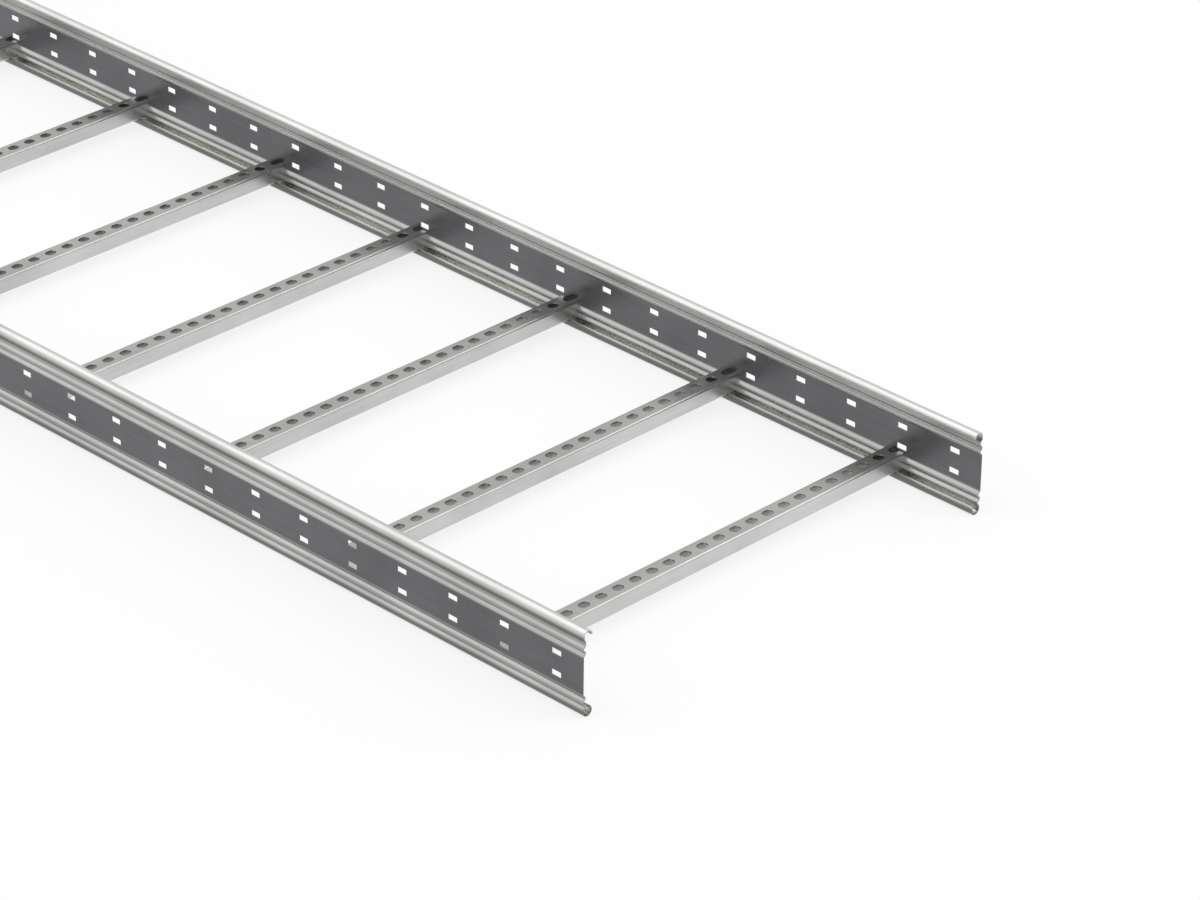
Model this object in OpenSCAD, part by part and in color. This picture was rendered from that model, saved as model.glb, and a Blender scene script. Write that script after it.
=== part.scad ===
// Cable ladder section: two roll-formed side rails with perforated webs,
// joined by perforated C-section rungs. X runs along the ladder, Y across it,
// Z up. The origin is on the floor, under the middle of the section.

/* [Ladder] */
// Length of the section
ladder_length = 3000; // [1000:250:6000]
// Width between the middles of the two side rail webs
ladder_width = 600; // [200:50:900]
// Thickness of the steel sheet of rails and rungs
sheet = 1.5; // [1:0.25:1.75]

/* [Side rails] */
// Overall height of a side rail
rail_height = 100; // [95:1:150]
// Outer diameter of the rolled edges at the top and bottom
curl_d = 12.5; // [11:0.5:13]
// Turn of the bottom curl, from the web round to its lip, in degrees
bottom_curl_turn = 230; // [180:5:230]
// Turn of the top curl, from the web round to its lip, in degrees
top_curl_turn = 185; // [180:5:230]
// Depth of the two stiffening grooves above and below the web
groove_depth = 3; // [1.5:0.25:3.25]

/* [Web holes] */
// Length of a hole in the web
web_hole_length = 14; // [8:1:24]
// Height of a hole in the web
web_hole_height = 7; // [5:0.5:9]
// Corner radius of a hole in the web
web_hole_radius = 1; // [0.5:0.25:2]
// Distance between hole columns
web_hole_pitch = 75; // [50:5:150]
// Distance between the two rows of holes
web_row_spacing = 25; // [20:1:28]
// Height of the middle of the two rows above the floor
web_row_height = 49; // [47:0.5:55]

/* [Rungs] */
// Distance between rungs
rung_pitch = 250; // [200:25:500]
// Distance from the +X end of the rails to the middle of the first rung
first_rung = 120; // [60:5:125]
// Width of a rung
rung_width = 25; // [22:1:40]
// Height of a rung
rung_height = 20; // [18:1:22]
// Height of a rung's underside above the floor
rung_seat = 11.5; // [11.5:0.5:14]
// Width of the return lips along a rung's open underside
rung_lip = 5; // [4:0.5:7]

/* [Rung holes] */
// Length of a hole, along the rung
rung_hole_length = 14; // [12:1:18]
// Width of a hole, across the rung
rung_hole_width = 11; // [8:0.5:12]
// Distance between holes
rung_hole_pitch = 25; // [20:1:50]
// Offset of the hole row from the middle of the rung
rung_hole_shift = -4; // [-10:0.5:10]

/* [Hidden] */
// Roundness of the drilled and punched shapes
$fn = 32;
// Largest step along a bend, in degrees
bend_step = 12;
// Reach of a cutting shape past the face that it cuts
past = 1;
half_sheet = sheet / 2;

// Middles of the two rolled edges, as distances in from the web and up from the floor
curl_r = (curl_d - sheet) / 2;
bottom_curl = [curl_d / 2, curl_d / 2];
top_curl = [curl_d / 2, rail_height - curl_d / 2];
curl_wall = bottom_curl[0] - curl_r;
groove_bend_r = 1.6;
// The ridge between two grooves stands back almost to the web
ridge_in = 0.2;
// The folds lie evenly about a line just below the middle of the hole rows
folds_below_rows = 0.6;
fold_middle = web_row_height - folds_below_rows;
// Distances of the folds from that line, up and down
web_edge = 21.9;
inner_groove = [25.6, 27.1];
ridge = [29.7, 31.9];
outer_groove_start = 34.7;
// Height of the flank that leads from a groove back out to its curl
flank = 2.6;
// Distances from the end of a groove to the middle of its curl
bottom_groove_to_curl = 5.5;
top_groove_to_curl = 6.5;
bottom_groove_end = fold_middle - bottom_curl[1] - bottom_groove_to_curl;
top_groove_end = top_curl[1] - fold_middle - top_groove_to_curl;

rung_corner_r = 2.5 - half_sheet;
rung_count = floor((ladder_length - first_rung - rung_width) / rung_pitch) + 1;
rung_top = rung_seat + rung_height;
// Punching shapes reach this far below the rung's top sheet
rung_punch_depth = 5;

// Half a pitch is left at each end, so the pitch runs on to the next section
web_hole_columns = floor(ladder_length / web_hole_pitch);
web_hole_run = (web_hole_columns - 1) * web_hole_pitch;

function rung_name(i) = str(i < 10 ? "rung_0" : "rung_", i);

// Direction of travel from a to b, in degrees
function heading(a, b) = atan2(b[1] - a[1], b[0] - a[0]);

// Angle that a path turns by at b, positive to the left
function turn(a, b, c) = let (t = heading(b, c) - heading(a, b))
    t > 180 ? t - 360 : t < -180 ? t + 360 : t;

// Left-hand normal of a heading
function left_of(h) = [-sin(h), cos(h)];

// One face of a bend of radius r about centre: the sheet comes in on heading h
// and turns by t. Side is 1 for the left face and -1 for the right face.
function bend(centre, r, h, t, side) = let (steps = max(2, ceil(abs(t) / bend_step)))
    [for (k = [0:steps])
        centre + (side * half_sheet - sign(t) * r) * left_of(h + t * k / steps)];

// One face of the bend that rounds the corner b on the way from a to c
function corner(a, b, c, r, side) =
    let (h = heading(a, b))
    let (t = turn(a, b, c))
    let (start = b - r * tan(abs(t) / 2) * [cos(h), sin(h)])
    bend(start + sign(t) * r * left_of(h), r, h, t, side);

// One face of a sheet folded at every corner of a path but its first and last
function folds(path, r, side) =
    [for (i = [1:len(path) - 2]) each corner(path[i - 1], path[i], path[i + 1], r, side)];

function reversed(points) = [for (i = [len(points) - 1:-1:0]) points[i]];

// Folds on one side of the web as [distance in from the web, distance from the
// middle of the folds], from the web out to the curl
function groove_path(groove_end, curl_middle) = [
    [0, web_edge],
    [groove_depth, inner_groove[0]],
    [groove_depth, inner_groove[1]],
    [ridge_in, ridge[0]],
    [ridge_in, ridge[1]],
    [groove_depth, outer_groove_start],
    [groove_depth, groove_end],
    [curl_wall, groove_end + flank],
    [curl_wall, curl_middle],
];

// Middle of the rail's sheet between its two curls, from the bottom up
lower_path = [for (p = reversed(groove_path(bottom_groove_end, fold_middle - bottom_curl[1])))
    [p[0], fold_middle - p[1]]];
upper_path = [for (p = groove_path(top_groove_end, top_curl[1] - fold_middle))
    [p[0], fold_middle + p[1]]];
rail_path = concat(lower_path, upper_path);

// One face of the whole rail sheet, from the bottom lip to the top lip
function rail_face(side) = concat(
    bend(bottom_curl, curl_r, bottom_curl_turn + 90, -bottom_curl_turn, side),
    folds(rail_path, groove_bend_r, side),
    bend(top_curl, curl_r, 90, -top_curl_turn, side)
);

// Cross-section of a side rail: X is inwards from the web's middle, Y is up
module rail_section() {
    polygon(concat(rail_face(1), reversed(rail_face(-1))));
}

// Rectangle with round corners, centred
module rounded_slot(length, height, r) {
    union() {
        square([length - 2 * r, height], center = true);
        square([length, height - 2 * r], center = true);
        for (sx = [-1, 1], sy = [-1, 1])
            translate([sx * (length / 2 - r), sy * (height / 2 - r)])
                circle(r);
    }
}

// Slot with half-round ends, centred, long along Y
module obround(length, width) {
    union() {
        square([width, length - width], center = true);
        for (s = [-1, 1])
            translate([0, s * (length - width) / 2])
                circle(width / 2);
    }
}

// The two rows of holes, punched along Y through a web that stands at Y = 0
module web_punches() {
    for (i = [0:web_hole_columns - 1], row = [-1, 1])
        translate([
            i * web_hole_pitch - web_hole_run / 2,
            sheet,
            web_row_height + row * web_row_spacing / 2
        ])
            rotate([90, 0, 0])
                linear_extrude(2 * sheet)
                    rounded_slot(web_hole_length, web_hole_height, web_hole_radius);
}

// A section drawn in X and Y, run along the ladder with its X turned to -Y
module run_along_ladder(length) {
    translate([-length / 2, 0, 0])
        rotate([90, 0, 90])
            mirror([1, 0, 0])
                linear_extrude(length)
                    children();
}

// Side rail with its web at Y = 0 and its curls towards -Y
module side_rail() {
    difference() {
        run_along_ladder(ladder_length) rail_section();
        web_punches();
    }
}

module side_rail_left() {
    color("silver")
        translate([0, ladder_width / 2, 0])
            side_rail();
}

module side_rail_right() {
    color("silver")
        mirror([0, 1, 0])
            translate([0, ladder_width / 2, 0])
                side_rail();
}

// Middle of the rung's sheet, from one return lip round to the other
rung_side = rung_width / 2 - half_sheet;
rung_path = [
    [rung_lip - rung_width / 2, rung_seat + half_sheet],
    [-rung_side, rung_seat + half_sheet],
    [-rung_side, rung_top - half_sheet],
    [rung_side, rung_top - half_sheet],
    [rung_side, rung_seat + half_sheet],
    [rung_width / 2 - rung_lip, rung_seat + half_sheet],
];

// One face of the rung's sheet, with the square-cut edges of its lips
function rung_face(side) = concat(
    [rung_path[0] - [0, side * half_sheet]],
    folds(rung_path, rung_corner_r, side),
    [rung_path[len(rung_path) - 1] - [0, side * half_sheet]]
);

module rung_section() {
    polygon(concat(rung_face(1), reversed(rung_face(-1))));
}

// Everything outside the inner face of a rail's lower folds and web
module beyond_rail() {
    outside = -rung_height;
    inner_face = folds(concat(lower_path, [[0, rail_height]]), groove_bend_r, -1);
    first = inner_face[0];
    last = inner_face[len(inner_face) - 1];
    polygon(concat(
        [[outside, 0], [first[0], 0]],
        inner_face,
        [[last[0], rail_height], [outside, rail_height]]
    ));
}

// Row of holes in the rung's top, cut from an endless perforated strip
module rung_punches() {
    reach = ceil(ladder_width / 2 / rung_hole_pitch);
    for (i = [-reach:reach])
        translate([0, i * rung_hole_pitch + rung_hole_shift, rung_top - rung_punch_depth])
            linear_extrude(rung_punch_depth + past)
                obround(rung_hole_length, rung_hole_width);
}

// Rung across X = 0, with its ends cut to the folds of the rails' inner faces
module coped_rung() {
    difference() {
        translate([0, ladder_width / 2, 0])
            rotate([90, 0, 0])
                linear_extrude(ladder_width)
                    rung_section();
        rung_punches();
        for (m = [0, 1])
            mirror([0, m, 0])
                translate([0, ladder_width / 2, 0])
                    run_along_ladder(rung_width + 2 * past)
                        beyond_rail();
    }
}

module rung(i) {
    color("lightgray")
        translate([ladder_length / 2 - first_rung - (i - 1) * rung_pitch, 0, 0])
            coped_rung();
}

side_rail_left();
side_rail_right();
for (i = [1:rung_count])
    rung(i);
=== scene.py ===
# Looks of the cable ladder section: satin steel materials, a pale floor, soft light

import math

import bpy
from mathutils import Matrix, Vector


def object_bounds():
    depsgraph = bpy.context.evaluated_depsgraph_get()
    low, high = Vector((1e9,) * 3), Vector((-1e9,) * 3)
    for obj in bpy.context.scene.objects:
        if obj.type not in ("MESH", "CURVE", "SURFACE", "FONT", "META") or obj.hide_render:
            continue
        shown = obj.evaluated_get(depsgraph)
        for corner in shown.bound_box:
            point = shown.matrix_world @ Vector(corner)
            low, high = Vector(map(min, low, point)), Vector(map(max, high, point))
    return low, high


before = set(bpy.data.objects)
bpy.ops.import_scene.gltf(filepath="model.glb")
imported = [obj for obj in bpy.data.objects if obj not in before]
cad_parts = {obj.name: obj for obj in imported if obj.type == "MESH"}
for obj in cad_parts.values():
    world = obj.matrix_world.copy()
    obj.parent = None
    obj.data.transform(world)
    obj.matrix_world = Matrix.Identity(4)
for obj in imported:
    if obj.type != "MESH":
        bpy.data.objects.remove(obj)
cad_low, cad_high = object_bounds()

# Where the camera stands, as azimuth, elevation and roll in degrees and distance in metres
CAMERA_AZIMUTH = 44.531
CAMERA_ELEVATION = 28.746
CAMERA_ROLL = 0.659
CAMERA_DISTANCE = 5.5003
CAMERA_LENS = 153.63
CAMERA_SENSOR = 36
CAMERA_RANGE = (0.1, 100)
# What it looks at: back from the +X end, towards the left rail, up from the floor
AIM_FROM_END = 0.3185
AIM_ACROSS = 0.0438
AIM_UP = 0.049

# Light of the world on the object, where white is 1
WORLD_FILL = 0.6
# Lamps as name, azimuth, elevation, distance, size and radiance. They are aimed at a
# point on the floor, this far back from the +X end.
LAMP_AIM_FROM_END = 0.6
LAMPS = (
    ("key", -62, 46, 8.0, 8.0, 0.65),
    ("rim", 143, 37, 8.0, 5.0, 1.7),
    ("top", 0, 89, 6.0, 6.0, 1.0),
)

FLOOR_SIZE = 60.0
FLOOR_GAP = 0.0002
FLOOR_COLOUR = (0.93, 0.93, 0.93, 1)
# Share of plain white in what is seen of the floor; the rest is lit and shows the shadow
FLOOR_WHITE = 0.8
WHITE = (1, 1, 1, 1)

# Shades of the rail over its height, painted light and shade: the folds and the rolled top
# edge are lightened as painted highlights, and the web between them, the bottom edge and
# the band under the rolled top edge are darkened as painted shade
WEB_PAINTED_SHADE = (0.140, 0.140, 0.148)
FOLD_PAINTED_HIGHLIGHT = (0.345, 0.345, 0.337)
UNDERSIDE_PAINTED_SHADE = (0.165, 0.165, 0.160)
ROLLED_EDGE_PAINTED_HIGHLIGHT = (0.56, 0.56, 0.55)
# Painted light: the hollows inside the rolled edges are lightened to this colour
CURLS_PAINTED_LIGHT = (0.92, 0.92, 0.87)
RAIL_PAINTED_LIGHT_AND_SHADE = (
    (0.072, UNDERSIDE_PAINTED_SHADE), (0.092, FOLD_PAINTED_HIGHLIGHT), (0.260, FOLD_PAINTED_HIGHLIGHT), (0.285, WEB_PAINTED_SHADE), (0.695, WEB_PAINTED_SHADE),
    (0.720, FOLD_PAINTED_HIGHLIGHT), (0.865, FOLD_PAINTED_HIGHLIGHT), (0.890, UNDERSIDE_PAINTED_SHADE), (0.915, UNDERSIDE_PAINTED_SHADE), (0.955, ROLLED_EDGE_PAINTED_HIGHLIGHT),
)
# Painted light and shade on the rungs: over the height, the side faces get a lighter copy of
# the steel and the top a darker copy
RUNG_SIDE_PAINTED_LIGHT = (0.585, 0.585, 0.590)
RUNG_TOP_PAINTED_SHADE = (0.395, 0.395, 0.380)
# Painted shade: the hollows inside the rungs, seen through their holes, are darkened to this
# colour
RUNG_HOLLOW_PAINTED_SHADE = (0.080, 0.080, 0.072)
RUNG_PAINTED_LIGHT_AND_SHADE = ((0.10, RUNG_SIDE_PAINTED_LIGHT), (0.285, RUNG_SIDE_PAINTED_LIGHT), (0.305, RUNG_TOP_PAINTED_SHADE))
# Lowest and highest roughness of each
RAIL_ROUGHNESS = (0.24, 0.32)
RUNG_ROUGHNESS = (0.26, 0.36)

# Marks of the rolls, drawn out to streaks along each piece, and how deep they are
MARKS_SCALE = 400.0
MARKS_ALONG_X = (0.02, 1, 1)
MARKS_ALONG_Y = (1, 0.02, 1)
MARKS_STRENGTH = 0.05
MARKS_DEPTH = 0.0003
# Uneven tone of the zinc, and smaller smudges that make it smoother or rougher
CLOUDS_SCALE = 9.0
SMUDGES_SCALE = 45.0
EVEN = (1, 1, 1)
# Most noise lies between these values
NOISE_RANGE = (0.3, 0.7)
# What the clouds and the marks multiply the colour by
CLOUDS_TONE = (0.90, 1.08)
MARKS_TONE = (0.94, 1.05)

# How far the sheet looks for its own other faces, to tell its inside from its outside,
# and the shares of open view that count as outside and inside
INSIDE_REACH = 0.03
INSIDE_RANGE = (0.6, 0.25)
INSIDE_SAMPLES = 8

# Rounding that the light shows along cut edges
EDGE_RADIUS = 0.0004
EDGE_SAMPLES = 4
# An edge is worn where its rounding tilts the face: cosines of the least and full tilt
WORN_RANGE = (0.97, 0.8)
WORN_BRIGHTER = 0.8
WORN_SMOOTHER = 0.12


def direction(azimuth, elevation):
    """Unit vector from the object towards a place seen at this azimuth and elevation."""
    a, e = math.radians(azimuth), math.radians(elevation)
    return Vector((math.sin(a) * math.cos(e), -math.cos(a) * math.cos(e), math.sin(e)))


def placed(aim, azimuth, elevation, distance):
    """Matrix of a camera or lamp that stands in that direction and looks at the aim."""
    back = direction(azimuth, elevation)
    turn = (-back).to_track_quat("-Z", "Y").to_matrix().to_4x4()
    return Matrix.Translation(aim + distance * back) @ turn


def make_camera():
    aim = Vector((cad_high.x - AIM_FROM_END, AIM_ACROSS, cad_low.z + AIM_UP))
    camera = bpy.data.objects.new("camera", bpy.data.cameras.new("camera"))
    camera.data.lens = CAMERA_LENS
    camera.data.sensor_width = CAMERA_SENSOR
    camera.data.clip_start, camera.data.clip_end = CAMERA_RANGE
    roll = Matrix.Rotation(math.radians(CAMERA_ROLL), 4, "Z")
    camera.matrix_world = (
        placed(aim, CAMERA_AZIMUTH, CAMERA_ELEVATION, CAMERA_DISTANCE) @ roll
    )
    bpy.context.scene.collection.objects.link(camera)
    bpy.context.scene.camera = camera


class Nodes:
    """Short calls for making and joining shader nodes."""

    def __init__(self, material):
        material.use_nodes = True
        self.tree = material.node_tree
        self.tree.nodes.clear()

    def feed(self, socket, value):
        """Links a socket to another one, or sets its own value."""
        if isinstance(value, bpy.types.NodeSocket):
            self.tree.links.new(value, socket)
        else:
            socket.default_value = value

    def add(self, kind, settings=None, **inputs):
        node = self.tree.nodes.new(kind)
        for name, value in (settings or {}).items():
            setattr(node, name, value)
        for name, value in inputs.items():
            self.feed(node.inputs[name.replace("_", " ")], value)
        return node

    def operation(self, kind, operation, first, second):
        """Result of a math node with two unnamed inputs."""
        node = self.add(kind, {"operation": operation})
        self.feed(node.inputs[0], first)
        self.feed(node.inputs[1], second)
        return node.outputs["Value"]

    def math(self, operation, first, second):
        return self.operation("ShaderNodeMath", operation, first, second)

    def map_range(self, value, source, target=(0, 1)):
        node = self.add(
            "ShaderNodeMapRange", Value=value,
            From_Min=source[0], From_Max=source[1], To_Min=target[0], To_Max=target[1],
        )
        return node.outputs["Result"]

    def noise(self, place, stretch, scale, detail):
        mapping = self.add("ShaderNodeMapping", Vector=place, Scale=stretch)
        noise = self.add(
            "ShaderNodeTexNoise", Vector=mapping.outputs["Vector"], Scale=scale, Detail=detail
        )
        return noise.outputs["Fac"]

    def mix_shaders(self, share, first, second):
        node = self.add("ShaderNodeMixShader", Fac=share)
        self.tree.links.new(first.outputs[0], node.inputs[1])
        self.tree.links.new(second.outputs[0], node.inputs[2])
        return node.outputs[0]

    def mix_colours(self, share, first, second):
        """Mix of a linked colour and a plain one."""
        node = self.add("ShaderNodeMix", {"data_type": "RGBA"})
        self.feed(node.inputs[0], share)
        colour_a, colour_b = [i for i in node.inputs if i.type == "RGBA"]
        self.feed(colour_a, first)
        self.feed(colour_b, (*second, 1))
        return next(o for o in node.outputs if o.type == "RGBA")

    def ramp(self, value, stops):
        node = self.add("ShaderNodeValToRGB", Fac=value)
        elements = node.color_ramp.elements
        while len(elements) < len(stops):
            elements.new(0.5)
        for element, (at, colour) in zip(elements, stops):
            element.position = at
            element.color = (*colour, 1)
        return node.outputs["Color"]


def sheet_steel(name, shades, inside, along, roughness):
    """Satin sheet steel.

    Shades are the stops of a colour ramp over the height of the ladder, inside is the
    colour in the hollows of the section, and along is the stretch of the rolling marks.
    """
    material = bpy.data.materials.new(name)
    nodes = Nodes(material)
    place = nodes.add("ShaderNodeTexCoord").outputs["Object"]
    marks = nodes.noise(place, along, MARKS_SCALE, 4.0)
    clouds = nodes.noise(place, EVEN, CLOUDS_SCALE, 3.0)
    smudges = nodes.noise(place, EVEN, SMUDGES_SCALE, 5.0)

    up = nodes.add("ShaderNodeSeparateXYZ", Vector=place).outputs["Z"]
    height = nodes.map_range(up, (cad_low.z, cad_high.z))
    view = nodes.add(
        "ShaderNodeAmbientOcclusion", {"samples": INSIDE_SAMPLES, "only_local": True},
        Distance=INSIDE_REACH,
    )
    in_hollow = nodes.map_range(view.outputs["AO"], INSIDE_RANGE)
    shade = nodes.mix_colours(in_hollow, nodes.ramp(height, shades), inside)

    # Cut edges are rubbed bright and smooth, more in some places than in others
    rounded = nodes.add("ShaderNodeBevel", {"samples": EDGE_SAMPLES}, Radius=EDGE_RADIUS)
    soft_edge = rounded.outputs["Normal"]
    flat = nodes.add("ShaderNodeNewGeometry").outputs["Normal"]
    tilt = nodes.operation("ShaderNodeVectorMath", "DOT_PRODUCT", soft_edge, flat)
    worn = nodes.math("MULTIPLY", nodes.map_range(tilt, WORN_RANGE), smudges)

    tone = nodes.math(
        "MULTIPLY",
        nodes.map_range(clouds, NOISE_RANGE, CLOUDS_TONE),
        nodes.map_range(marks, NOISE_RANGE, MARKS_TONE),
    )
    brighter = nodes.math("ADD", 1.0, nodes.math("MULTIPLY", worn, WORN_BRIGHTER))
    colour = nodes.add(
        "ShaderNodeVectorMath", {"operation": "SCALE"},
        Vector=shade, Scale=nodes.math("MULTIPLY", tone, brighter),
    )
    rough = nodes.math(
        "SUBTRACT",
        nodes.map_range(smudges, NOISE_RANGE, roughness),
        nodes.math("MULTIPLY", worn, WORN_SMOOTHER),
    )
    bump = nodes.add(
        "ShaderNodeBump",
        Height=marks, Strength=MARKS_STRENGTH, Distance=MARKS_DEPTH, Normal=soft_edge,
    )
    shader = nodes.add(
        "ShaderNodeBsdfPrincipled",
        Base_Color=colour.outputs["Vector"],
        Metallic=1.0,
        Roughness=rough,
        Normal=bump.outputs["Normal"],
    )
    nodes.add("ShaderNodeOutputMaterial", Surface=shader.outputs["BSDF"])
    return material


def dress(prefix, material):
    """Gives a material to every CAD node whose name starts with the prefix."""
    for name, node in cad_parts.items():
        if name.startswith(prefix):
            node.data.materials.clear()
            node.data.materials.append(material)


def seen(nodes):
    """1 for the rays that see a thing: camera, glossy and transmission rays."""
    path = nodes.add("ShaderNodeLightPath").outputs
    rays = nodes.math("MAXIMUM", path["Is Camera Ray"], path["Is Glossy Ray"])
    return nodes.math("MAXIMUM", rays, path["Is Transmission Ray"])


def make_world():
    world = bpy.data.worlds.new("studio")
    bpy.context.scene.world = world
    nodes = Nodes(world)
    fill = nodes.add("ShaderNodeBackground", Color=WHITE, Strength=WORLD_FILL)
    white = nodes.add("ShaderNodeBackground", Color=WHITE, Strength=1.0)
    nodes.add("ShaderNodeOutputWorld", Surface=nodes.mix_shaders(seen(nodes), fill, white))


def make_floor():
    below = (0, 0, cad_low.z - FLOOR_GAP)
    bpy.ops.mesh.primitive_plane_add(size=FLOOR_SIZE, location=below)
    floor = bpy.context.object
    floor.name = "floor"
    material = bpy.data.materials.new("floor_white")
    nodes = Nodes(material)
    matt = nodes.add("ShaderNodeBsdfDiffuse", Color=FLOOR_COLOUR)
    white = nodes.add("ShaderNodeEmission", Color=WHITE, Strength=1.0)
    share = nodes.math("MULTIPLY", seen(nodes), FLOOR_WHITE)
    nodes.add("ShaderNodeOutputMaterial", Surface=nodes.mix_shaders(share, matt, white))
    floor.data.materials.append(material)


def softbox(name, azimuth, elevation, distance, size, radiance):
    """Square area lamp."""
    lamp = bpy.data.lights.new(name, "AREA")
    lamp.shape = "SQUARE"
    lamp.size = size
    lamp.energy = radiance * math.pi * size * size
    box = bpy.data.objects.new(name, lamp)
    aim = Vector((cad_high.x - LAMP_AIM_FROM_END, 0, 0))
    box.matrix_world = placed(aim, azimuth, elevation, distance)
    bpy.context.scene.collection.objects.link(box)


make_camera()
make_world()
make_floor()
for lamp_values in LAMPS:
    softbox(*lamp_values)

rail_steel = sheet_steel(
    "rail_steel", RAIL_PAINTED_LIGHT_AND_SHADE, CURLS_PAINTED_LIGHT, MARKS_ALONG_X, RAIL_ROUGHNESS
)
rung_steel = sheet_steel(
    "rung_steel", RUNG_PAINTED_LIGHT_AND_SHADE, RUNG_HOLLOW_PAINTED_SHADE, MARKS_ALONG_Y, RUNG_ROUGHNESS
)
dress("side_rail", rail_steel)
dress("rung", rung_steel)

bpy.context.scene.view_settings.view_transform = "Standard"
